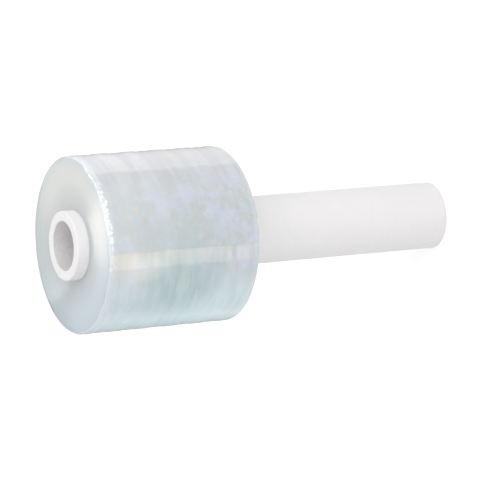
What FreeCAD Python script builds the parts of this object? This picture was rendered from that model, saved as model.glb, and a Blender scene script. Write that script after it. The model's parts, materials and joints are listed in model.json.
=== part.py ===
# Hand stretch wrap: film wound on a one-piece extended core, whose long bare end is the handle.
# Millimetres. The roll stands on the handle's free end: z is 0 there and runs up the core's axis.

import FreeCAD
import Part
import Sketcher
import math
import os

Vector = FreeCAD.Vector

# Every size that can be set by itself: its name, its value and what it measures.
sizes = [
    ("core_bore", 38.1, "diameter of the hole through the core"),
    ("core_wall", 7.8, "thickness of the board wall"),
    ("handle_length", 194.0, "bare core below the film"),
    ("stub_length", 6.7, "bare core above the film"),
    ("rim_outer_bevel", 1.0, "broken edge round the outside of each core end"),
    ("rim_inner_bevel", 0.8, "broken edge round the bore at each core end"),
    ("film_width", 127.0, "width of the film along the core"),
    ("film_build", 41.8, "wound film from the core to the outside"),
    ("film_corner_bevel", 1.5, "slope of the outermost turns at the roll's corners"),
    ("face_flat", 5.0, "outermost turns whose edges lie level"),
    ("face_dish", 3.0, "how far each end face sinks from there to the core"),
    ("turn_groups", 9, "groups of turns that show on an end face"),
    ("turn_stagger", 0.35, "how far every second group lies below its neighbours"),
    ("band_count", 5, "hollows round the outside, between firm bands"),
    ("band_edge", 8.0, "film edge to the first hollow"),
    ("band_width", 16.0, "width of a hollow"),
    ("band_flank", 3.0, "slope on each side of a hollow"),
    ("band_depth", 0.25, "depth of a hollow"),
    ("tail_angle", 262.0, "where the loose tail ends, in degrees from +X"),
    ("tail_sweep", 38.0, "degrees over which the tail lifts off the roll"),
    ("tail_lift", 0.45, "how far the tail's free edge stands off the roll"),
    ("tail_root", 0.6, "how deep the tail starts, below the hollows"),
]

doc = FreeCAD.newDocument("StretchWrapRoll")
sheet = doc.addObject("Spreadsheet::Sheet", "Sizes")
for row, (name, value, meaning) in enumerate(sizes, start=1):
    sheet.set(f"A{row}", name)
    sheet.set(f"B{row}", str(value))
    sheet.set(f"C{row}", meaning)
    sheet.setAlias(f"B{row}", name)
doc.recompute()

# Lengths that follow from the sheet, as expressions.
bore_radius = "(Sizes.core_bore / 2)"
core_radius = f"({bore_radius} + Sizes.core_wall)"
film_radius = f"({core_radius} + Sizes.film_build)"
dish_radius = f"({film_radius} - Sizes.face_flat)"
core_length = "(Sizes.handle_length + Sizes.film_width + Sizes.stub_length)"
film_half_width = "(Sizes.film_width / 2)"


def number(expression):
    return float(sheet.evalExpression(expression))


def face_height(radius):
    # Inside its level outer turns, the end face is a shallow cone that sinks by the dish at the core.
    fall = "Sizes.face_dish / (Sizes.film_build - Sizes.face_flat)"
    return f"({film_half_width} - {fall} * ({dish_radius} - {radius}))"


def new_body(name):
    body = doc.addObject("PartDesign::Body", name)
    body.Label = name
    return body


def origin_plane(body, role):
    return next(part for part in body.Origin.OriginFeatures if part.Role == role)


def new_sketch(body, name, plane):
    # A sketch on one of the body's own origin planes. On XZ_Plane, x is the radius and y the height.
    sketch = body.newObject("Sketcher::SketchObject", name)
    sketch.AttachmentSupport = [(origin_plane(body, plane), "")]
    sketch.MapMode = "FlatFace"
    return sketch


def set_size(sketch, kind, expression, *geometry):
    # One driving dimension, bound to the sheet.
    index = sketch.addConstraint(Sketcher.Constraint(kind, *geometry, number(expression)))
    sketch.setExpression(f"Constraints[{index}]", expression)


def hold_point(sketch, piece, end, across, up):
    # Dimension one point of a sketch from the sketch's origin.
    set_size(sketch, "DistanceX", across, -1, 1, piece, end)
    set_size(sketch, "DistanceY", up, -1, 1, piece, end)


def add_lines(sketch, corners, closed=True):
    # Straight lines through corners that are pairs of expressions. Returns each line's index.
    spots = [Vector(number(across), number(up), 0) for across, up in corners]
    ends = spots[1:] + spots[:1] if closed else spots[1:]
    lines = [sketch.addGeometry(Part.LineSegment(here, there), False) for here, there in zip(spots, ends)]
    for line, following in zip(lines, lines[1:]):
        sketch.addConstraint(Sketcher.Constraint("Coincident", line, 2, following, 1))
    if closed:
        sketch.addConstraint(Sketcher.Constraint("Coincident", lines[-1], 2, lines[0], 1))
    for line, (across, up) in zip(lines, corners):
        hold_point(sketch, line, 1, across, up)
    if not closed:
        hold_point(sketch, lines[-1], 2, *corners[-1])
    return lines


def revolve(body, kind, name, sketch):
    # A full turn about the core's axis: a Revolution adds, a Groove cuts.
    feature = body.newObject(f"PartDesign::{kind}", name)
    feature.Profile = sketch
    feature.ReferenceAxis = (sketch, ["V_Axis"])
    feature.Angle = 360
    return feature


def bevel_edges(body, name, base, radius, size):
    # Bevel every circular edge of the base that has the given radius.
    doc.recompute()
    wanted = number(radius)
    picked = []
    for index, edge in enumerate(base.Shape.Edges, start=1):
        if isinstance(edge.Curve, Part.Circle) and math.isclose(edge.Curve.Radius, wanted, abs_tol=1e-4):
            picked.append(f"Edge{index}")
    feature = body.newObject("PartDesign::Chamfer", name)
    feature.Base = (base, picked)
    feature.setExpression("Size", size)
    return feature


def make_core_tube():
    body = new_body("core_tube")
    wall = new_sketch(body, "CoreWall", "XZ_Plane")
    add_lines(wall, [
        (bore_radius, "0"),
        (core_radius, "0"),
        (core_radius, core_length),
        (bore_radius, core_length),
    ])
    tube = revolve(body, "Revolution", "CoreTurned", wall)
    outer = bevel_edges(body, "OuterRims", tube, core_radius, "Sizes.rim_outer_bevel")
    bevel_edges(body, "InnerRims", outer, bore_radius, "Sizes.rim_inner_bevel")
    return body


def make_wound_film(body):
    # The roll without its surface detail, about its own mid-plane.
    half = new_sketch(body, "FilmSection", "XZ_Plane")
    face_at_core = face_height(core_radius)
    add_lines(half, [
        (core_radius, f"-{face_at_core}"),
        (dish_radius, f"-{film_half_width}"),
        (film_radius, f"-{film_half_width}"),
        (film_radius, film_half_width),
        (dish_radius, film_half_width),
        (core_radius, face_at_core),
    ])
    wound = revolve(body, "Revolution", "FilmWound", half)
    bevel_edges(body, "FilmCorners", wound, film_radius, "Sizes.film_corner_bevel")


def cut_turn_rings(body):
    # On the end faces every second group of turns lies a little lower. Each group holds the same length
    # of film, so the groups have equal areas and grow narrower towards the outside.
    rings = new_sketch(body, "TurnRings", "XZ_Plane")
    groups = round(number("Sizes.turn_groups"))

    def group_edge(step):
        share = f"{step} / {groups}"
        return f"sqrt({core_radius}^2 * (1 - {share}) + {dish_radius}^2 * {share})"

    for step in range(1, groups - 1, 2):
        inner = group_edge(step)
        outer = group_edge(step + 1)
        add_lines(rings, [
            (inner, f"{face_height(inner)} - Sizes.turn_stagger"),
            (outer, f"{face_height(outer)} - Sizes.turn_stagger"),
            (outer, f"{face_height(outer)} + Sizes.turn_stagger"),
            (inner, f"{face_height(inner)} + Sizes.turn_stagger"),
        ])
    cut = revolve(body, "Groove", "TurnRingsCut", rings)
    both = body.newObject("PartDesign::Mirrored", "TurnRingsBothFaces")
    both.Originals = [cut]
    both.MirrorPlane = (origin_plane(body, "XY_Plane"), [""])
    body.Tip = both


def cut_band_hollows(body):
    # Shallow hollows round the outside: thicker lanes of film build up firm bands between them.
    hollow = new_sketch(body, "BandHollow", "XZ_Plane")
    low = f"(-{film_half_width} + Sizes.band_edge)"
    high = f"({low} + Sizes.band_width)"
    floor = f"{film_radius} - Sizes.band_depth"
    clear = f"{film_radius} + Sizes.tail_lift"
    add_lines(hollow, [
        (film_radius, low),
        (clear, low),
        (clear, high),
        (film_radius, high),
        (floor, f"{high} - Sizes.band_flank"),
        (floor, f"{low} + Sizes.band_flank"),
    ])
    cut = revolve(body, "Groove", "BandHollowCut", hollow)
    row = body.newObject("PartDesign::LinearPattern", "BandHollowsCut")
    row.Originals = [cut]
    row.Direction = (hollow, ["V_Axis"])
    row.setExpression("Length", "Sizes.film_width - 2 * Sizes.band_edge - Sizes.band_width")
    row.setExpression("Occurrences", "round(Sizes.band_count)")
    body.Tip = row


def add_loose_tail(body):
    # The film's last edge, loose over the width between the bevelled corners. It rises out of the
    # roll on one large arc and ends in a step that runs along the core.
    section = new_sketch(body, "TailSection", "XY_Plane")
    root = f"({film_radius} - Sizes.tail_root)"
    lip = f"({film_radius} + Sizes.tail_lift)"
    edge_turn = "(Sizes.tail_angle * 1deg)"
    root_turn = "((Sizes.tail_angle + Sizes.tail_sweep) * 1deg)"
    edge = number("Sizes.tail_angle") * math.pi / 180
    sweep = number("Sizes.tail_sweep") * math.pi / 180
    outward = Vector(math.cos(edge + sweep), math.sin(edge + sweep), 0)
    step = add_lines(section, [
        (f"{root} * cos({edge_turn})", f"{root} * sin({edge_turn})"),
        (f"{lip} * cos({edge_turn})", f"{lip} * sin({edge_turn})"),
    ], False)[0]
    spoke = section.addGeometry(Part.LineSegment(Vector(), outward * number(root)), True)
    section.addConstraint(Sketcher.Constraint("Coincident", spoke, 1, -1, 1))
    turn = section.addConstraint(Sketcher.Constraint("Angle", spoke, edge + sweep))
    section.setExpression(f"Constraints[{turn}]", root_turn)

    under = Part.Circle(Vector(), Vector(0, 0, 1), number(root))
    inner = section.addGeometry(Part.ArcOfCircle(under, edge, edge + sweep), False)
    section.addConstraint(Sketcher.Constraint("Coincident", inner, 3, -1, 1))
    section.addConstraint(Sketcher.Constraint("Coincident", inner, 1, step, 1))
    section.addConstraint(Sketcher.Constraint("Coincident", inner, 2, spoke, 2))

    # The outer arc leaves the inner one at a tangent: its centre lies on the same spoke.
    drop = number(lip) ** 2 - number(root) ** 2
    offset = drop / (2 * (number(root) - number(lip) * math.cos(sweep)))
    middle = outward * -offset
    free_edge = Vector(math.cos(edge), math.sin(edge), 0) * number(lip) - middle
    over = Part.Circle(middle, Vector(0, 0, 1), number(root) + offset)
    first = math.atan2(free_edge.y, free_edge.x) % (2 * math.pi)
    outer = section.addGeometry(Part.ArcOfCircle(over, first, edge + sweep), False)
    section.addConstraint(Sketcher.Constraint("Coincident", outer, 1, step, 2))
    section.addConstraint(Sketcher.Constraint("Coincident", outer, 2, spoke, 2))
    section.addConstraint(Sketcher.Constraint("PointOnObject", outer, 3, spoke))

    tail = body.newObject("PartDesign::Pad", "LooseTail")
    tail.Profile = section
    tail.setExpression("Length", "Sizes.film_width - 2 * Sizes.film_corner_bevel")
    tail.SideType = "Symmetric"


def make_film_roll():
    body = new_body("film_roll")
    make_wound_film(body)
    cut_turn_rings(body)
    cut_band_hollows(body)
    add_loose_tail(body)
    body.setExpression(".Placement.Base.z", "Sizes.handle_length + Sizes.film_width / 2")
    return body


sub_parts = [make_core_tube(), make_film_roll()]
doc.recompute()

for item in doc.Objects:
    if "Invalid" in item.State or "Error" in item.State:
        raise RuntimeError(f"{item.Name} did not build: {item.State}")
for item in sub_parts:
    if item.Shape.isNull() or not item.Shape.isValid():
        raise RuntimeError(f"{item.Label} has no valid solid")

os.makedirs("parts", exist_ok=True)
for item in sub_parts:
    item.Shape.exportStep(f"parts/{item.Label}.step")
    box = item.Shape.optimalBoundingBox(False, False)
    print(item.Label, round(item.Shape.Volume, 1), "mm3, z", round(box.ZMin, 2), "to", round(box.ZMax, 2))
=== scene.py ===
import bpy
import json
import math
import numpy as np
from mathutils import Matrix, Vector


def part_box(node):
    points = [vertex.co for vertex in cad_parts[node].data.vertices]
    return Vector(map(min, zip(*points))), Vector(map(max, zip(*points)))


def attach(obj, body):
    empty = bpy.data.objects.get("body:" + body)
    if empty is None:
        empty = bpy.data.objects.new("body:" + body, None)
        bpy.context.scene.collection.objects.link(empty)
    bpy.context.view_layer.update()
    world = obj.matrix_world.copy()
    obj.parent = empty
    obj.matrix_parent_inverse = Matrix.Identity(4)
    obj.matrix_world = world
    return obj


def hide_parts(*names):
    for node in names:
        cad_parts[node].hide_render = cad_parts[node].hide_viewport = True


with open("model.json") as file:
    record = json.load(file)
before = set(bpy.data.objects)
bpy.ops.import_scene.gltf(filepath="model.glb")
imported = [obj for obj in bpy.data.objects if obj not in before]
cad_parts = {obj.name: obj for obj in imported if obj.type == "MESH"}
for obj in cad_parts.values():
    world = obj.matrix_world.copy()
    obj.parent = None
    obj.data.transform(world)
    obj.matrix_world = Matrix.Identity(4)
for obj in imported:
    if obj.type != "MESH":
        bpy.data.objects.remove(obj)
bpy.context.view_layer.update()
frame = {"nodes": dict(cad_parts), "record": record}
print("frame loaded:", sorted(frame["nodes"]))

# Lengths are metres and angles are degrees. +Z runs up the core, from the handle's end to the stub.
filmLow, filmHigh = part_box("film_roll")
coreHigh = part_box("core_tube")[1]
mountOf = {mount["name"]: mount for mount in frame["record"]["mounts"]}
filmRadius = filmHigh.x
filmBottom, filmTop = filmLow.z, filmHigh.z
coreRadius = coreHigh.x
coreTop = coreHigh.z
boreRadius = mountOf["core_bore"]["dims"]["r_mm"] / 1000
sameRadius = 1e-9  # two radii closer than this are one
sharpAngle = 40.0  # edges sharper than this aren't smoothed


def waves(along, seed, count, longest, shortest):
    # Sum of sine waves of seeded phase; each wavelength lies between the longest and the shortest.
    # The sum is scaled so that it mostly lies between -1 and 1.
    draw = np.random.default_rng(seed)
    lengths = longest * (shortest / longest) ** draw.uniform(0, 1, count)
    phases = draw.uniform(0, 2 * math.pi, count)
    total = sum(np.sin(2 * math.pi * along / length + phase) for length, phase in zip(lengths, phases))
    return total / math.sqrt(count)


def turnWaves(angle, seed, count, highest):
    # The same round a circle: whole numbers of waves up to the highest, so the ends meet.
    draw = np.random.default_rng(seed)
    orders = draw.integers(1, highest + 1, count)
    phases = draw.uniform(0, 2 * math.pi, count)
    return sum(np.sin(order * angle + phase) for order, phase in zip(orders, phases)) / math.sqrt(count)


def smoothStep(low, high, value):
    # 0 below low, 1 above high, and a smooth cubic between them.
    share = np.clip((value - low) / (high - low), 0, 1)
    return share * share * (3 - 2 * share)


def tubeMesh(name, points, slots):
    # points has one row for each step of a closed section and one column for each step round the axis.
    # Neighbouring points make quads, and both directions close on themselves.
    rows, columns = points.shape[:2]
    row, column = np.meshgrid(np.arange(rows), np.arange(columns), indexing="ij")
    nextRow, nextColumn = (row + 1) % rows, (column + 1) % columns
    quads = np.stack([
        row * columns + column,
        row * columns + nextColumn,
        nextRow * columns + nextColumn,
        nextRow * columns + column,
    ], axis=-1).reshape(-1, 4)
    flat = points.reshape(-1, 3)
    corners = flat[quads]
    volume = np.einsum("ij,ij->i", corners[:, 0], np.cross(corners[:, 1], corners[:, 2])).sum()
    if volume < 0:  # they face inwards and are turned over
        quads = quads[:, ::-1]
    mesh = bpy.data.meshes.new(name)
    mesh.vertices.add(len(flat))
    mesh.vertices.foreach_set("co", flat.astype(np.float32).ravel())
    mesh.loops.add(quads.size)
    mesh.loops.foreach_set("vertex_index", quads.astype(np.int32).ravel())
    mesh.polygons.add(len(quads))
    mesh.polygons.foreach_set("loop_start", np.arange(0, quads.size, 4, dtype=np.int32))
    mesh.polygons.foreach_set("material_index", np.repeat(slots, columns).astype(np.int32))
    mesh.polygons.foreach_set("use_smooth", np.ones(len(quads), dtype=bool))
    mesh.update(calc_edges=True)
    mesh.validate()
    mesh.set_sharp_from_angle(angle=math.radians(sharpAngle))
    piece = bpy.data.objects.new(name, mesh)
    bpy.context.collection.objects.link(piece)
    return piece


# Film roll
filmLook = {
    "faceFlat": 0.0050,       # outermost turns whose edges lie level
    "faceDish": 0.0030,       # how far an end face sinks at the core
    "groups": 9,              # groups of turns on an end face
    "groupStagger": 0.00003,  # every second group lies this much lower
    "shoulder": 0.0030,       # width over which one group steps to the next
    "turnRelief": 0.00001,    # height of the single turns' edges
    "cornerRound": 0.0015,
    "cornerZone": 0.0080,     # finely divided end of the outside
    "lipWave": 0.00015,       # how far the outermost turns shift at the corners
    "lipZone": (0.004, 0.001),  # from the outside, where that starts and where it is full
    "edgeSteps": ((0.0026, 0.0005, 0.00025), (0.0050, 0.0006, 0.00035)),  # place, width and depth
    "stepWander": 0.0006,
    "stepSeed": 30,
    "sideSeeds": 10,          # added to the seed at the roll's other side
    "strengthSeeds": 5,       # and for a step's strength
    "stepShare": (0.8, 0.5),     # mean and swing of the share of its depth that a step has
    "stepStrength": (0.2, 1.1),  # least and most of that share
    "stepTurns": (12, 60),       # count of waves and highest number in one turn
    "strengthTurns": (9, 40),
    "bandCount": 5,
    "bandEdge": 0.008,
    "bandWidth": 0.016,
    "bandFlank": 0.003,
    "bandDepth": 0.00025,
    "laneRelief": 0.00003,    # fine lanes round the outside
    "laneDrop": 1.4,          # reliefs by which the lanes lie below the full radius
    "laneShare": (0.75, 0.25),  # mean and swing of the lanes' height round the roll
    "tailAngle": 262.0,
    "tailSweep": 38.0,
    "tailLift": 0.00045,
    "tailRoot": 0.0006,
    "tailWander": 0.25,       # degrees by which the tail's cut edge wanders
    "tailFade": 0.06,         # radians over which that dies out
    "tailWall": 0.0004,       # radians taken by the step behind the tail's edge
    "columns": 330,
    # Steps along the section.
    "faceSteps": 84,
    "lowFaceSteps": 40,
    "cornerSteps": 9,
    "zoneSteps": 46,
    "middleSteps": 60,
    "boreSteps": 6,
    # Waves along a line: seed, count, longest and shortest.
    "edgeWaves": (11, 14, 0.004, 0.0009),
    "laneWaves": (5, 12, 0.011, 0.0035),
    "tailWaves": (9, 5, 0.09, 0.02),
    # Waves round the roll: seed, count and highest number in one turn.
    "laneTurns": (6, 3, 4),
    "lipTurns": (8, 6, 23),
}


def filmFaceHeight(radius):
    # Height of an end face below the film's full width: level outside, then a shallow cone to the core,
    # with every second group of turns set lower and the edges of single turns on top.
    look = filmLook
    dishRadius = filmRadius - look["faceFlat"]
    fall = look["faceDish"] * np.clip((dishRadius - radius) / (dishRadius - coreRadius), 0, 1)
    steps = np.arange(look["groups"] + 1) / look["groups"]
    edges = np.sqrt(coreRadius ** 2 * (1 - steps) + dishRadius ** 2 * steps)
    sunk = np.zeros_like(radius)
    for step in range(1, look["groups"] - 1, 2):
        half = look["shoulder"] / 2
        rise = smoothStep(edges[step] - half, edges[step] + half, radius)
        drop = smoothStep(edges[step + 1] - half, edges[step + 1] + half, radius)
        sunk += rise - drop
    turns = waves(radius, *look["edgeWaves"]) * look["turnRelief"]
    return -fall - look["groupStagger"] * sunk + turns - look["turnRelief"]


def filmSection():
    # Closed half section of the roll: top face, corner, side, corner, bottom face, bore.
    # Returns radius, height, a mark for the corners and a material slot for each step.
    look = filmLook
    turn = look["cornerRound"]
    faceRadii = np.linspace(coreRadius, filmRadius - turn, look["faceSteps"], endpoint=False)
    lowRadii = np.linspace(coreRadius, filmRadius - turn, look["lowFaceSteps"], endpoint=False)
    bend = np.linspace(0, math.pi / 2, look["cornerSteps"])
    zone = look["cornerZone"]
    ending = np.linspace(turn, zone, look["zoneSteps"])[1:-1]
    middle = np.linspace(filmTop - zone, filmBottom + zone, look["middleSteps"])
    side = np.concatenate([filmTop - ending, middle, (filmBottom + ending)[::-1]])
    cornerRadius = filmRadius - turn + turn * np.sin(bend)
    cornerDrop = turn - turn * np.cos(bend)
    dish = look["faceDish"]
    bore = np.linspace(filmBottom + dish, filmTop - dish, look["boreSteps"])[1:-1]
    radius = np.concatenate([
        faceRadii, cornerRadius, np.full(len(side), filmRadius), cornerRadius[::-1], lowRadii[::-1],
        np.full(len(bore), coreRadius),
    ])
    height = np.concatenate([
        filmTop + filmFaceHeight(faceRadii), filmTop - cornerDrop, side,
        (filmBottom + cornerDrop)[::-1], (filmBottom - filmFaceHeight(lowRadii))[::-1], bore,
    ])
    counts = [len(faceRadii), len(bend), len(side), len(bend), len(lowRadii), len(bore)]
    corner = np.repeat([0, 1, 0, 1, 0, 0], counts)
    slots = np.repeat([1, 0, 0, 0, 1, 1], counts)
    return radius, height, corner, slots


def bandHollow(height):
    # Depth of the shallow hollows between the firm bands, with sloping flanks.
    look = filmLook
    span = filmTop - filmBottom - 2 * look["bandEdge"] - look["bandWidth"]
    pitch = span / (look["bandCount"] - 1)
    starts = filmBottom + look["bandEdge"] + np.arange(look["bandCount"]) * pitch
    depth = np.zeros_like(height)
    for start in starts:
        end = start + look["bandWidth"]
        rise = smoothStep(start, start + look["bandFlank"], height)
        depth += rise - smoothStep(end - look["bandFlank"], end, height)
    return look["bandDepth"] * depth


def edgeSteps(height, angle):
    # The outermost turns stop short of the corners, each with an edge that wanders, so the outside
    # goes down in small ragged steps.
    look = filmLook
    depth = np.zeros((len(height), len(angle)))
    mean, swing = look["stepShare"]
    for side, fromEdge in enumerate((filmTop - height, height - filmBottom)):
        for count, (place, width, deep) in enumerate(look["edgeSteps"]):
            draw = look["stepSeed"] + look["sideSeeds"] * side + count
            edge = place + look["stepWander"] * turnWaves(angle, draw, *look["stepTurns"])
            varied = turnWaves(angle, draw + look["strengthSeeds"], *look["strengthTurns"])
            strength = np.clip(mean + swing * varied, *look["stepStrength"])
            passed = smoothStep(edge - width / 2, edge + width / 2, fromEdge[:, None])
            depth += deep * strength * (1 - passed)
    return depth


def tailRadius(angle):
    # The loose tail leaves the roll on an arc whose centre lies behind the axis on the root's spoke:
    # distance from the axis = -k cos d + sqrt((root + k)^2 - (k sin d)^2), where d is the angle from
    # the root and k makes the distance reach the lip at the free edge.
    look = filmLook
    root = filmRadius - look["tailRoot"]
    lip = filmRadius + look["tailLift"]
    sweep = math.radians(look["tailSweep"])
    k = (lip ** 2 - root ** 2) / (2 * (root - lip * math.cos(sweep)))
    d = sweep - np.clip(angle, 0, sweep)
    reach = np.sqrt((root + k) ** 2 - (k * np.sin(d)) ** 2) - k * np.cos(d)
    return np.where(angle <= sweep, reach, 0)


def makeFilmRoll():
    look = filmLook
    radius, height, corner, slots = filmSection()
    sideMark = (np.abs(radius - filmRadius) < sameRadius) & (corner == 0)
    # Angles start at the tail's free edge and end just before it, so that the step is one thin wall.
    fromTail = np.linspace(0, 2 * math.pi, look["columns"], endpoint=False)
    fromTail = np.append(fromTail, 2 * math.pi - look["tailWall"])
    reach = radius[:, None] + np.zeros_like(fromTail)
    level = height[:, None] + np.zeros_like(fromTail)

    onSide = sideMark[:, None]
    lanes = waves(height, *look["laneWaves"])[:, None]
    mean, swing = look["laneShare"]
    lanes = lanes * (mean + swing * turnWaves(fromTail, *look["laneTurns"]))
    raised = (lanes - look["laneDrop"]) * look["laneRelief"]
    rolled = reach + (raised - bandHollow(height)[:, None]) * onSide
    reach = np.where(onSide, np.maximum(rolled, tailRadius(fromTail)[None, :]), rolled)
    reach = reach - edgeSteps(height, fromTail) * (radius > filmRadius - look["cornerRound"])[:, None]

    # At the corners the outermost turns lie a little nearer the roll's middle, unevenly round it.
    towardsMiddle = np.where(height > (filmTop + filmBottom) / 2, -1, 1)
    lipStart, lipFull = look["lipZone"]
    onEnds = (corner == 1) | (slots == 1)
    outer = smoothStep(filmRadius - lipStart, filmRadius - lipFull, radius) * onEnds
    wander = 0.5 + 0.5 * np.clip(turnWaves(fromTail, *look["lipTurns"]), -1, 1)
    level = level + (towardsMiddle * outer)[:, None] * wander * look["lipWave"]

    # The tail's cut edge wanders with height; the shift dies out within a few degrees.
    fade = look["tailFade"]
    near = np.exp(-(fromTail / fade) ** 2) + np.exp(-((2 * math.pi - fromTail) / fade) ** 2)
    edge = waves(height, *look["tailWaves"])[:, None] * math.radians(look["tailWander"])
    angle = math.radians(look["tailAngle"]) + fromTail + edge * near
    points = np.stack([reach * np.cos(angle), reach * np.sin(angle), level + 0 * angle], axis=-1)
    return tubeMesh("wrap_film", points, slots)


# Core tube
coreLook = {
    "outerRound": 0.0012,
    "innerRound": 0.0008,
    "wallWave": 0.00004,  # how far the pressed board strays from round
    "wallDrop": 2.0,      # waves by which the outside lies below the full radius
    "wallWaves": (21, 6, 0.12, 0.03),  # seed, count, longest and shortest
    "wallTurns": (22, 4, 5),           # seed, count and highest number in one turn
    "columns": 192,
    "sideSteps": 70,
    "boreSteps": 50,
    "rimSteps": 8,
    "endSteps": 9,
    "liningRows": 3,      # rows of each rounded mouth that look like the lining
}


def makeCoreTube():
    # Closed half section of the tube: outside, rounded rim, end, rounded mouth, bore, and then the
    # lower mouth, end and rim.
    look = coreLook
    outer, inner = look["outerRound"], look["innerRound"]
    bend = np.linspace(0, math.pi / 2, look["rimSteps"])
    side = np.linspace(outer, coreTop - outer, look["sideSteps"])[1:-1]
    bore = np.linspace(coreTop - inner, inner, look["boreSteps"])[1:-1]
    end = np.linspace(coreRadius - outer, boreRadius + inner, look["endSteps"])[1:-1]
    radius = np.concatenate([
        np.full(len(side), coreRadius),
        coreRadius - outer + outer * np.cos(bend), end, boreRadius + inner - inner * np.sin(bend),
        np.full(len(bore), boreRadius),
        boreRadius + inner - inner * np.cos(bend), end[::-1], coreRadius - outer + outer * np.sin(bend),
    ])
    height = np.concatenate([
        side,
        coreTop - outer + outer * np.sin(bend), np.full(len(end), coreTop),
        coreTop - inner + inner * np.cos(bend),
        bore,
        inner - inner * np.sin(bend), np.zeros(len(end)), outer - outer * np.cos(bend),
    ])
    rim = 2 * len(bend) + len(end)
    lining = look["liningRows"]
    slots = np.repeat([0, 0, 1, 0], [len(side), rim - lining, len(bore) + 2 * lining, rim - lining])
    angle = np.linspace(0, 2 * math.pi, look["columns"], endpoint=False)
    stray = waves(height, *look["wallWaves"])[:, None] + turnWaves(angle, *look["wallTurns"])
    stray = (stray - look["wallDrop"]) * look["wallWave"]
    onWall = np.abs(radius - coreRadius) < sameRadius
    reach = radius[:, None] + stray * onWall[:, None]
    points = np.stack([
        reach * np.cos(angle), reach * np.sin(angle), height[:, None] + 0 * angle,
    ], axis=-1)
    return tubeMesh("core_board", points, slots)


# Materials
def addNode(tree, kind, inputs=(), **settings):
    # A node with its settings and its inputs, each a value or the output of another node.
    made = tree.nodes.new(kind)
    for name, value in settings.items():
        setattr(made, name, value)
    for name, value in dict(inputs).items():
        if isinstance(value, bpy.types.NodeSocket):
            tree.links.new(value, made.inputs[name])
        else:
            made.inputs[name].default_value = value
    return made


def newGroup(name, inputs, outputs):
    # A shader node group with named, typed sockets. Returns its tree, input node and output node.
    tree = bpy.data.node_groups.new(name, "ShaderNodeTree")
    for direction, sockets in (("INPUT", inputs), ("OUTPUT", outputs)):
        for label, kind in sockets:
            tree.interface.new_socket(name=label, in_out=direction, socket_type="NodeSocket" + kind)
    return tree, tree.nodes.new("NodeGroupInput"), tree.nodes.new("NodeGroupOutput")


def useGroup(tree, group, inputs):
    return addNode(tree, "ShaderNodeGroup", inputs, node_tree=group)


def mathNode(tree, operation, first, second=0.0):
    return addNode(tree, "ShaderNodeMath", {0: first, 1: second}, operation=operation).outputs[0]


def times(tree, first, second):
    return mathNode(tree, "MULTIPLY", first, second)


def vectorNode(tree, operation, inputs, output=0):
    return addNode(tree, "ShaderNodeVectorMath", inputs, operation=operation).outputs[output]


def mixColour(tree, share, first, second):
    return addNode(tree, "ShaderNodeMix", {0: share, 6: first, 7: second}, data_type="RGBA").outputs[2]


def rampValue(tree, value, low, high, start=0.0, end=1.0):
    # Straight ramp of a value from start at low to end at high, held level beyond both.
    inputs = {"Value": value, "From Min": low, "From Max": high, "To Min": start, "To Max": end}
    return addNode(tree, "ShaderNodeMapRange", inputs).outputs[0]


def addNoise(tree, place, scale, detail, roughness=0.5):
    inputs = {"Vector": place, "Scale": scale, "Detail": detail, "Roughness": roughness}
    return addNode(tree, "ShaderNodeTexNoise", inputs).outputs[0]


def addBump(tree, strength, distance, height, under=None):
    # A bump, on the given normal or on the surface's own.
    inputs = {"Strength": strength, "Distance": distance, "Height": height}
    if under is not None:
        inputs["Normal"] = under
    return addNode(tree, "ShaderNodeBump", inputs).outputs[0]


def objectPlace(tree):
    # The point in the object's own frame, and its three parts.
    place = addNode(tree, "ShaderNodeTexCoord").outputs["Object"]
    return place, *addNode(tree, "ShaderNodeSeparateXYZ", {"Vector": place}).outputs


def tone(red, green, blue):
    # A colour written as it looks on screen, 0 to 255.
    def straight(value):
        share = value / 255
        return share / 12.92 if share <= 0.04045 else ((share + 0.055) / 1.055) ** 2.4
    return straight(red), straight(green), straight(blue), 1.0


lineLook = {"scale": 1.0, "roughness": 0.6}


def makeTurnLines():
    # Noise drawn out round the roll: fine across the turns, long along them.
    names = ("Across", "Stretch", "Pitch", "Detail")
    inputs = [("Around", "Vector")] + [(name, "Float") for name in names]
    tree, given, result = newGroup("turnLines", inputs, [("Lines", "Float")])
    across, stretch, pitch, detail = [given.outputs[name] for name in names]
    scaled = vectorNode(tree, "SCALE", {0: given.outputs["Around"], "Scale": stretch})
    x, y, z = addNode(tree, "ShaderNodeSeparateXYZ", {"Vector": scaled}).outputs
    fine = {"X": x, "Y": y, "Z": times(tree, across, pitch)}
    place = addNode(tree, "ShaderNodeCombineXYZ", fine).outputs[0]
    lines = addNoise(tree, place, lineLook["scale"], detail, lineLook["roughness"])
    tree.links.new(lines, result.inputs["Lines"])
    return tree


grainLook = {
    "broad": (55.0, 3.0),      # noise: scale and detail
    "small": (420.0, 4.0),
    "fibre": (2300.0, 3.0),
    "clouds": (0.5, 0.5),      # shares of broad and small in the shade
    "lumps": (0.6, 0.4),       # shares of small and fibre in the height
    "jointWidth": 0.006,       # in turns
    "jointShade": 0.015,
    "jointDepth": 0.3,
}


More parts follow.
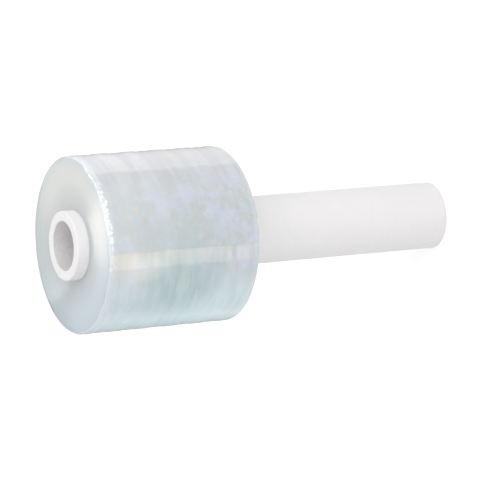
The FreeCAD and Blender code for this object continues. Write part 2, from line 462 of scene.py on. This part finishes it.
def makeBoardGrain():
    # Mottle and fibre of pressed board, and the helical joint of its outer ply.
    look = grainLook
    inputs = [("Mottle", "Float"), ("Lead", "Float"), ("Seam", "Float")]
    tree, given, result = newGroup("boardGrain", inputs, [("Shade", "Float"), ("Height", "Float")])
    place, x, y, z = objectPlace(tree)
    broad, small, fibre = [addNoise(tree, place, *look[name]) for name in ("broad", "small", "fibre")]
    turn = mathNode(tree, "DIVIDE", mathNode(tree, "ARCTAN2", y, x), 2 * math.pi)
    rise = mathNode(tree, "SUBTRACT", mathNode(tree, "DIVIDE", z, given.outputs["Lead"]), turn)
    away = mathNode(tree, "ABSOLUTE", mathNode(tree, "SUBTRACT", mathNode(tree, "FRACT", rise), 0.5))
    line = rampValue(tree, away, 0.0, look["jointWidth"], 1.0, 0.0)
    joint = times(tree, line, given.outputs["Seam"])

    def blend(first, second, shares):
        return mathNode(tree, "ADD", times(tree, first, shares[0]), times(tree, second, shares[1]))

    clouds = blend(broad, small, look["clouds"])
    dark = times(tree, mathNode(tree, "SUBTRACT", 0.5, clouds), given.outputs["Mottle"])
    bright = mathNode(tree, "SUBTRACT", 1.0, dark)
    shade = mathNode(tree, "SUBTRACT", bright, times(tree, joint, look["jointShade"]))
    tree.links.new(shade, result.inputs["Shade"])
    lumps = blend(small, fibre, look["lumps"])
    height = mathNode(tree, "SUBTRACT", lumps, times(tree, joint, look["jointDepth"]))
    tree.links.new(height, result.inputs["Height"])
    return tree


def makeOutwardNormal():
    # The surface's normal leant outwards from the roll's axis. The cut edges of the turns are too
    # fine to model; each one faces a little outwards, so a lamp shows on one side of the end face.
    tree, given, result = newGroup("outwardNormal", [("Lean", "Float")], [("Normal", "Vector")])
    normal = addNode(tree, "ShaderNodeNewGeometry").outputs["Normal"]
    place = addNode(tree, "ShaderNodeTexCoord").outputs["Object"]
    flat = vectorNode(tree, "MULTIPLY", {0: place, 1: (1, 1, 0)})
    outward = vectorNode(tree, "NORMALIZE", {0: flat})
    lean = vectorNode(tree, "SCALE", {0: outward, "Scale": given.outputs["Lean"]})
    leant = vectorNode(tree, "NORMALIZE", {0: vectorNode(tree, "ADD", {0: normal, 1: lean})})
    tree.links.new(leant, result.inputs["Normal"])
    return tree


turnLines = makeTurnLines()
boardGrain = makeBoardGrain()
outwardNormal = makeOutwardNormal()


def newMaterial(name):
    made = bpy.data.materials.new(name)
    made.use_nodes = True
    tree = made.node_tree
    return made, tree, tree.nodes["Principled BSDF"]


def finishMaterial(tree, shader, colour, normal, values):
    tree.links.new(colour, shader.inputs["Base Color"])
    tree.links.new(normal, shader.inputs["Normal"])
    for name, value in values.items():
        shader.inputs[name].default_value = value


# A span is where a ramp starts and ends, and then its two values if they aren't 0 and 1.
boardLook = {
    "stubStart": (filmTop - 0.004, filmTop - 0.002),
    "stubEnd": (coreTop - 0.0002, coreTop - 0.0012),
    "handleStart": (filmBottom - 0.045, filmBottom, 0.0, 0.8),
    "handleEnd": (filmTop - 0.004, filmTop - 0.005),
    "lead": 0.118,                      # rise of the outer ply's joint in one turn
    "bump": (0.25, 0.0004),             # strength and distance
    "gloss": 0.3,                       # specular level
    # Painted light: the outside is painted lighter beside the film, on the stub and on the handle next
    # to it, standing for light that the film throws on the board.
    "outside": {
        "colour": tone(241, 239, 240), "paintedLightBesideFilm": tone(252, 250, 251),
        "mottle": 0.10, "seam": 1.0, "roughness": 0.75,
    },
    # The lining's colour is a little darker than the outside's: painted shade of the bore, on the inner
    # ply with its stronger mottle.
    "lining": {
        "colour": tone(232, 230, 231), "paintedLightBesideFilm": tone(232, 230, 231),
        "mottle": 0.55, "seam": 0.0, "roughness": 0.85,
    },
}


def boardMaterial(name, look):
    made, tree, shader = newMaterial(name)
    height = objectPlace(tree)[3]
    # Painted light: masks for where the board is painted lighter beside the film.
    stubLit = times(tree, rampValue(tree, height, *boardLook["stubStart"]),
                 rampValue(tree, height, *boardLook["stubEnd"]))
    handleLit = times(tree, rampValue(tree, height, *boardLook["handleStart"]),
                   rampValue(tree, height, *boardLook["handleEnd"]))
    colour = mixColour(tree, mathNode(tree, "ADD", stubLit, handleLit), look["colour"], look["paintedLightBesideFilm"])
    grain = useGroup(tree, boardGrain, {
        "Mottle": look["mottle"], "Lead": boardLook["lead"], "Seam": look["seam"],
    })
    shaded = vectorNode(tree, "SCALE", {0: colour, "Scale": grain.outputs["Shade"]})
    bump = addBump(tree, *boardLook["bump"], grain.outputs["Height"])
    finishMaterial(tree, shader, shaded, bump, {
        "Roughness": look["roughness"], "Specular IOR Level": boardLook["gloss"],
    })
    return made


filmFinish = {
    "shader": {
        "Roughness": 0.35, "IOR": 1.5, "Specular IOR Level": 0.2,
        "Coat Weight": 1.0, "Coat Roughness": 0.02, "Coat IOR": 1.5,
    },
    "blueGrey": tone(201, 207, 221),
    "greenGrey": tone(190, 198, 197),
    "clouds": (55.0, 6.0, 0.65),  # noise: scale, detail and roughness
    "cloudSpan": (0.42, 0.58),
    # Tints across the roll (0) and along it (2): axis, start, full, share and colour.
    "tints": (
        (0, 0.020, 0.062, 0.6, tone(210, 209, 209)),
        (0, -0.022, -0.052, 1.0, tone(216, 231, 233)),
        (0, -0.040, -0.064, 0.9, tone(204, 229, 238)),
        (2, 0.250, filmTop, 0.42, tone(226, 230, 232)),
    ),
    "bluish": tone(196, 208, 226),
    "rosy": tone(222, 214, 217),
    "flecks": (190.0, 5.0, 0.7),
    "bluishSpan": (0.52, 0.66, 0.0, 0.6),
    "rosySpan": (0.46, 0.34, 0.0, 0.5),
    "fleckedLow": (-0.0100, -0.0090, 0.15, 1.0),
    "fleckedHigh": (0.036, 0.054, 1.0, 0.3),
    "streakAndMirroredShade": tone(170, 192, 193),
    "lines": {"Stretch": 22.0, "Pitch": 120.0, "Detail": 5.0},
    "mirroredShadePart": (-0.034, -0.060, 0.259),  # painted reflection of shade: the streaks darken most round here
    "mirroredShadeReach": (0.046, 0.015, 0.0, 0.9),
    "mirroredShadeLines": (0.36, 0.58, 0.35, 1.0),
    "lowLines": (0.42, 0.64),
    "lowPart": (0.020, -0.030, 0.10, 0.34),
    "laneGrey": tone(193, 193, 197),
    "lanes": {"Stretch": 9.0, "Pitch": 95.0, "Detail": 2.0},
    "laneSpan": (0.46, 0.58, 0.0, 0.55),
    "lanePart": (0.034, 0.046),
    "mirroredCream": tone(204, 200, 192),           # painted reflection: a cream tint on the stretch below the tail's free edge, where the film mirrors a bright surface
    "underTailStart": (-0.0092, -0.0100),
    "underTailEnd": (-0.029, -0.022),
    "mirroredCreamPart": (0.272, 0.300, 0.18, 0.5),
    "markLines": (0.45, 0.60, 0.0, 0.45),
    "markPart": (0.302, 0.290),
    # Painted reflections: soft light and dark patches, drawn out along the roll, standing for lit and
    # shaded
    # surroundings mirrored in the film: centre, reach round the roll, colour and share.
    "mirroredPatches": (
        ((0.0050, -0.0684, 0.2850), 0.0140, tone(176, 186, 180), 0.28),
        ((-0.0235, -0.0645, 0.2935), 0.0120, tone(244, 246, 244), 0.34),
        ((-0.0500, -0.0470, 0.2870), 0.0180, tone(168, 190, 196), 0.34),
        ((-0.0635, -0.0260, 0.2125), 0.0180, tone(250, 253, 254), 0.30),
    ),
    "patchDraw": (1, 1, 0.45),
    "patchCore": 0.2,                       # share of the reach at which a patch is full
    "paleEdge": tone(226, 231, 238),
    "raggedNoise": (330.0, 4.0, 0.6),
    "ragged": 0.008,                        # how far the ragged edges of the pale band and of the painted glint wander
    "stubEdge": (filmTop - 0.0055, filmTop - 0.0015, 0.0, 0.60),
    "handleEdge": (filmBottom + 0.0055, filmBottom + 0.0015, 0.0, 0.30),
    "paintedGlint": tone(252, 253, 254),
    "glintPart": (0.0195, -0.0658, 0.3190),  # painted glint: white ragged marks on the corner where a lamp glints on the outermost turns
    "glintReach": (0.032, 0.018),
    "glintHeight": (filmTop - 0.0040, filmTop - 0.0034),
    "glintSpan": (0.47, 0.52, 0.25, 1.0),
    "bump": (0.05, 0.0006),                 # strength and distance
    "wrinkle": (0.02, 0.0010),
}


def filmMaterial():
    # Outside of the roll: clouded blue-grey film, warmer on one side and teal on the other, with
    # streaks round the turns, pale edges, painted reflections of light and shade and a painted glint.
    look = filmFinish
    made, tree, shader = newMaterial("stretch_film_side")
    place, x, y, z = objectPlace(tree)
    clouds, flecks, raggedNoise = [addNoise(tree, place, *look[name]) for name in ("clouds", "flecks", "raggedNoise")]
    lines, lanes = [
        useGroup(tree, turnLines, {"Around": place, "Across": z, **look[name]}).outputs[0]
        for name in ("lines", "lanes")
    ]

    def span(value, name):
        return rampValue(tree, value, *look[name])

    colour = mixColour(tree, span(clouds, "cloudSpan"), look["blueGrey"], look["greenGrey"])
    for axis, start, full, share, shade in look["tints"]:
        tinted = rampValue(tree, (x, y, z)[axis], start, full, 0.0, share)
        colour = mixColour(tree, tinted, colour, shade)

    flecked = times(tree, span(x, "fleckedLow"), span(x, "fleckedHigh"))
    for name in ("bluish", "rosy"):
        fleckShare = times(tree, span(flecks, name + "Span"), flecked)
        colour = mixColour(tree, fleckShare, colour, look[name])

    # Streaks round the turns on the lower side, and painted reflection of shade: streaks darkened round
    # one place.
    fromPart = vectorNode(tree, "DISTANCE", {0: place, 1: look["mirroredShadePart"]}, "Value")
    mirroredShade = times(tree, span(lines, "mirroredShadeLines"), span(fromPart, "mirroredShadeReach"))
    low = times(tree, span(lines, "lowLines"), span(x, "lowPart"))
    colour = mixColour(tree, mathNode(tree, "MAXIMUM", mirroredShade, low), colour, look["streakAndMirroredShade"])
    topLanes = times(tree, span(lanes, "laneSpan"), span(x, "lanePart"))
    colour = mixColour(tree, topLanes, colour, look["laneGrey"])

    # Painted reflection: the stretch below the tail's free edge is tinted cream.
    underTail = times(tree, span(x, "underTailStart"), span(x, "underTailEnd"))
    colour = mixColour(tree, times(tree, underTail, span(z, "mirroredCreamPart")), colour, look["mirroredCream"])
    marks = times(tree, span(lines, "markLines"), span(z, "markPart"))
    colour = mixColour(tree, times(tree, underTail, marks), colour, look["streakAndMirroredShade"])
    # Painted reflections of light and shade in soft patches.
    for centre, reach, shade, share in look["mirroredPatches"]:
        offset = vectorNode(tree, "SUBTRACT", {0: place, 1: centre})
        drawn = vectorNode(tree, "MULTIPLY", {0: offset, 1: look["patchDraw"]})
        away = vectorNode(tree, "LENGTH", {0: drawn}, "Value")
        filled = rampValue(tree, away, reach, reach * look["patchCore"], 0.0, share)
        colour = mixColour(tree, filled, colour, shade)

    ragged = times(tree, mathNode(tree, "SUBTRACT", raggedNoise, 0.5), look["ragged"])
    height = mathNode(tree, "ADD", z, ragged)
    pale = mathNode(tree, "MAXIMUM", span(height, "stubEdge"), span(height, "handleEdge"))
    colour = mixColour(tree, pale, colour, look["paleEdge"])
    # Painted glint: white ragged marks near one corner, where a lamp glints on the outermost turns.
    fromGlint = vectorNode(tree, "DISTANCE", {0: place, 1: look["glintPart"]}, "Value")
    glint = times(tree, span(fromGlint, "glintReach"), span(height, "glintHeight"))
    colour = mixColour(tree, times(tree, glint, span(raggedNoise, "glintSpan")), colour, look["paintedGlint"])

    bump = addBump(tree, *look["bump"], lines)
    wrinkle = addBump(tree, *look["wrinkle"], clouds, bump)
    finishMaterial(tree, shader, colour, wrinkle, look["shader"])
    return made


edgeFinish = {
    "shader": {"Roughness": 0.20, "IOR": 1.5},
    # Painted light and shade: the end faces are lighter towards +X, where the key stands, and darker
    # towards -X.
    "dark": tone(201, 214, 221),
    "light": tone(221, 222, 218),
    "sideSpan": (-0.055, 0.055),
    "ring": tone(200, 206, 207),
    "rings": {"Stretch": 14.0, "Pitch": 900.0, "Detail": 5.0},
    "ringSpan": (0.4, 0.7, 0.0, 0.15),
    # Painted shade: the end face darkens towards the core, round the stub.
    "core": tone(176, 178, 180),
    "coreSpan": (0.050, coreRadius, 0.0, 0.6),
    "rim": tone(188, 207, 218),
    "rimSpan": (0.058, filmRadius, 0.0, 0.5),
    "pitch": 14.0,            # degrees by which the turns' cut edges face outwards
    "bump": (0.03, 0.0003),   # strength and distance
}


def filmEdgeMaterial():
    # End faces: the stacked edges of the turns, painted lighter on one side and darker on the other as
    # light falls, with painted shade round the core and fine rings.
    look = edgeFinish
    made, tree, shader = newMaterial("stretch_film_edges")
    place, x, y, _ = objectPlace(tree)
    flat = addNode(tree, "ShaderNodeCombineXYZ", {"X": x, "Y": y}).outputs[0]
    radius = vectorNode(tree, "LENGTH", {0: flat}, "Value")
    ringInputs = {"Around": place, "Across": radius, **look["rings"]}
    rings = useGroup(tree, turnLines, ringInputs).outputs[0]
    colour = mixColour(tree, rampValue(tree, x, *look["sideSpan"]), look["dark"], look["light"])
    for value, name in ((rings, "ring"), (radius, "core"), (radius, "rim")):
        colour = mixColour(tree, rampValue(tree, value, *look[name + "Span"]), colour, look[name])
    lean = math.tan(math.radians(look["pitch"]))
    leant = useGroup(tree, outwardNormal, {"Lean": lean}).outputs[0]
    finishMaterial(tree, shader, colour, addBump(tree, *look["bump"], rings, leant), look["shader"])
    return made


# Camera
cameraLook = {
    "place": (-0.0070, -1.9863, 1.2144),
    "lookDown": 27.61,
    "roll": -94.94,   # the core's axis lies across the picture, the stub on its left
    "lens": 213.6,
    "sensor": 36.0,
}


def makeCamera():
    look = cameraLook
    down, roll = math.radians(look["lookDown"]), math.radians(look["roll"])
    ahead = Vector((0, math.cos(down), -math.sin(down)))
    level, rise = Vector((1, 0, 0)), Vector((0, math.sin(down), math.cos(down)))
    right = level * math.cos(roll) + rise * math.sin(roll)
    up = rise * math.cos(roll) - level * math.sin(roll)
    data = bpy.data.cameras.new("camera")
    data.lens = look["lens"]
    data.sensor_width = look["sensor"]
    camera = bpy.data.objects.new("camera", data)
    turned = Matrix((right, up, -ahead)).transposed().to_4x4()
    camera.matrix_world = Matrix.Translation(look["place"]) @ turned
    bpy.context.collection.objects.link(camera)
    bpy.context.scene.camera = camera


# Light
lightLook = {
    "world": 0.80,  # on all that isn't seen directly or in gloss
    "lamps": {
        "key": {
            "place": (0.95, -0.80, 1.50), "aim": (0, 0, 0.25), "size": (1.4, 1.4),
            "radiance": 1.1, "everywhere": True,
        },
        "fill": {
            "place": (0.15, -1.60, 0.15), "aim": (0, 0, 0.16), "size": (1.2, 0.5),
            "radiance": 0.5, "everywhere": True,
        },
        "upFill": {
            "place": (0.00, -1.40, 1.10), "aim": (0, 0, 0.33), "size": (1.8, 1.0),
            "radiance": 0.53, "everywhere": True,
        },
        "stripNear": {
            "place": (0.25, -0.03, 1.72), "aim": (0, 0, 0.32), "size": (0.95, 0.16),
            "radiance": 16.0, "everywhere": False,
        },
        "stripFar": {
            "place": (0.80, 0.55, 1.31), "aim": (0, 0, 0.32), "size": (0.95, 0.16),
            "radiance": 16.0, "everywhere": False,
        },
    },
}
# Each card's glow runs from its first end to its second (along) and from its foot to its top (rise).
cardLook = {
    "backCard": {
        "foot": ((0.400, 0.0175, 0.001), (0.151, 0.383, 0.001)),
        "top": ((0.400, 0.0175, 0.45), (0.151, 0.383, 0.45)),
        "along": (2.4, 0.40), "rise": (0.85, 1.15), "colour": (1.0, 0.985, 1.0),
    },
    "frontCard": {
        "foot": ((-0.109, -0.408, 0.001), (-0.238, -0.346, 0.001)),
        "top": ((-0.109, -0.408, 0.36), (-0.238, -0.346, 0.36)),
        "along": (5.2, 4.2), "rise": (0.6, 1.15), "colour": (1.0, 0.90, 0.76),
    },
    "edgeCard": {
        "foot": ((-0.400, 0.250, 0.001), (-0.060, 0.250, 0.001)),
        "top": ((-0.400, 0.250, 0.40), (-0.060, 0.250, 0.40)),
        "along": (1.0, 0.35), "rise": (1, 1), "colour": (0.92, 0.98, 1.0),
    },
    "skyCard": {
        "foot": ((0.078, 1.293, 1.259), (-0.050, 1.303, 1.244)),
        "top": ((0.555, 0.530, 1.724), (-0.344, 0.620, 1.655)),
        "along": (6.2, 0.8), "rise": (0.9, 1.1), "colour": (1.0, 0.90, 0.84),
    },
}
floorLook = {"radius": 4.0, "corners": 96, "paper": 0.84, "lift": 0.32}


def addArea(name, look):
    # A rectangular lamp whose surface has the given radiance, where 1 is white.
    # One that isn't everywhere only shows as a reflection.
    width, height = look["size"]
    data = bpy.data.lights.new(name, "AREA")
    data.shape = "RECTANGLE"
    data.size, data.size_y = width, height
    data.energy = look["radiance"] * math.pi * width * height
    lamp = bpy.data.objects.new(name, data)
    place = Vector(look["place"])
    lamp.location = place
    lamp.rotation_euler = (Vector(look["aim"]) - place).to_track_quat("-Z", "Y").to_euler()
    lamp.visible_camera = False
    lamp.visible_diffuse = look["everywhere"]
    bpy.context.collection.objects.link(lamp)


def addCard(name, look):
    # A glowing card that only gloss shows, from its foot's two ends to its top's two ends.
    mesh = bpy.data.meshes.new(name)
    mesh.from_pydata([*look["foot"], *reversed(look["top"])], [], [(0, 1, 2, 3)])
    mesh.uv_layers.new(name="card").data.foreach_set("uv", [0, 0, 1, 0, 1, 1, 0, 1])
    made, tree, shader = newMaterial(name)
    tree.nodes.remove(shader)
    place = addNode(tree, "ShaderNodeUVMap", uv_map="card").outputs[0]
    apart = addNode(tree, "ShaderNodeSeparateXYZ", {"Vector": place}).outputs
    along = rampValue(tree, apart[0], 0.0, 1.0, *look["along"])
    rise = rampValue(tree, apart[1], 0.0, 1.0, *look["rise"])
    inputs = {"Color": (*look["colour"], 1), "Strength": times(tree, along, rise)}
    glow = addNode(tree, "ShaderNodeEmission", inputs)
    tree.links.new(glow.outputs[0], tree.nodes["Material Output"].inputs["Surface"])
    made.cycles.emission_sampling = "NONE"
    mesh.materials.append(made)
    card = bpy.data.objects.new(name, mesh)
    bpy.context.collection.objects.link(card)
    card.visible_camera = False
    card.visible_diffuse = False
    card.visible_transmission = False
    card.visible_shadow = False


def shownRay(tree):
    # 1 for rays of the camera, of gloss and of transmission, and 0 for all others.
    path = addNode(tree, "ShaderNodeLightPath")
    total = path.outputs["Is Camera Ray"]
    for name in ("Is Glossy Ray", "Is Transmission Ray"):
        total = mathNode(tree, "MAXIMUM", total, path.outputs[name])
    return total


def makeWorld():
    world = bpy.data.worlds.new("studio")
    bpy.context.scene.world = world
    world.use_nodes = True
    tree = world.node_tree
    back = tree.nodes["Background"]
    back.inputs["Color"].default_value = (1, 1, 1, 1)
    strength = rampValue(tree, shownRay(tree), 0.0, 1.0, lightLook["world"], 1.0)
    tree.links.new(strength, back.inputs["Strength"])


def makeFloor():
    look = floorLook
    bpy.ops.mesh.primitive_circle_add(
        vertices=look["corners"], radius=look["radius"], fill_type="NGON", location=(0, 0, 0),
    )
    floor = bpy.context.object
    floor.name = "floor"
    made, tree, shader = newMaterial("studio_floor")
    tree.nodes.remove(shader)
    paper = addNode(tree, "ShaderNodeBsdfDiffuse", {"Color": (*[look["paper"]] * 3, 1)})
    strength = times(tree, shownRay(tree), look["lift"])
    lift = addNode(tree, "ShaderNodeEmission", {"Color": (1, 1, 1, 1), "Strength": strength})
    both = addNode(tree, "ShaderNodeAddShader", {0: paper.outputs[0], 1: lift.outputs[0]})
    tree.links.new(both.outputs[0], tree.nodes["Material Output"].inputs["Surface"])
    floor.data.materials.append(made)


makeCamera()
makeWorld()
makeFloor()
for name, look in lightLook["lamps"].items():
    addArea(name, look)
for name, look in cardLook.items():
    addCard(name, look)
bpy.context.scene.view_settings.view_transform = "Standard"
print("camera, floor and lights made")

film = makeFilmRoll()
film.data.materials.append(filmMaterial())
film.data.materials.append(filmEdgeMaterial())
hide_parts("film_roll")
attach(film, "root")
print("film roll made:", len(film.data.polygons), "quads")

core = makeCoreTube()
core.data.materials.append(boardMaterial("core_board_outside", boardLook["outside"]))
core.data.materials.append(boardMaterial("core_board_lining", boardLook["lining"]))
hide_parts("core_tube")
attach(core, "root")
print("core tube made:", len(core.data.polygons), "quads")
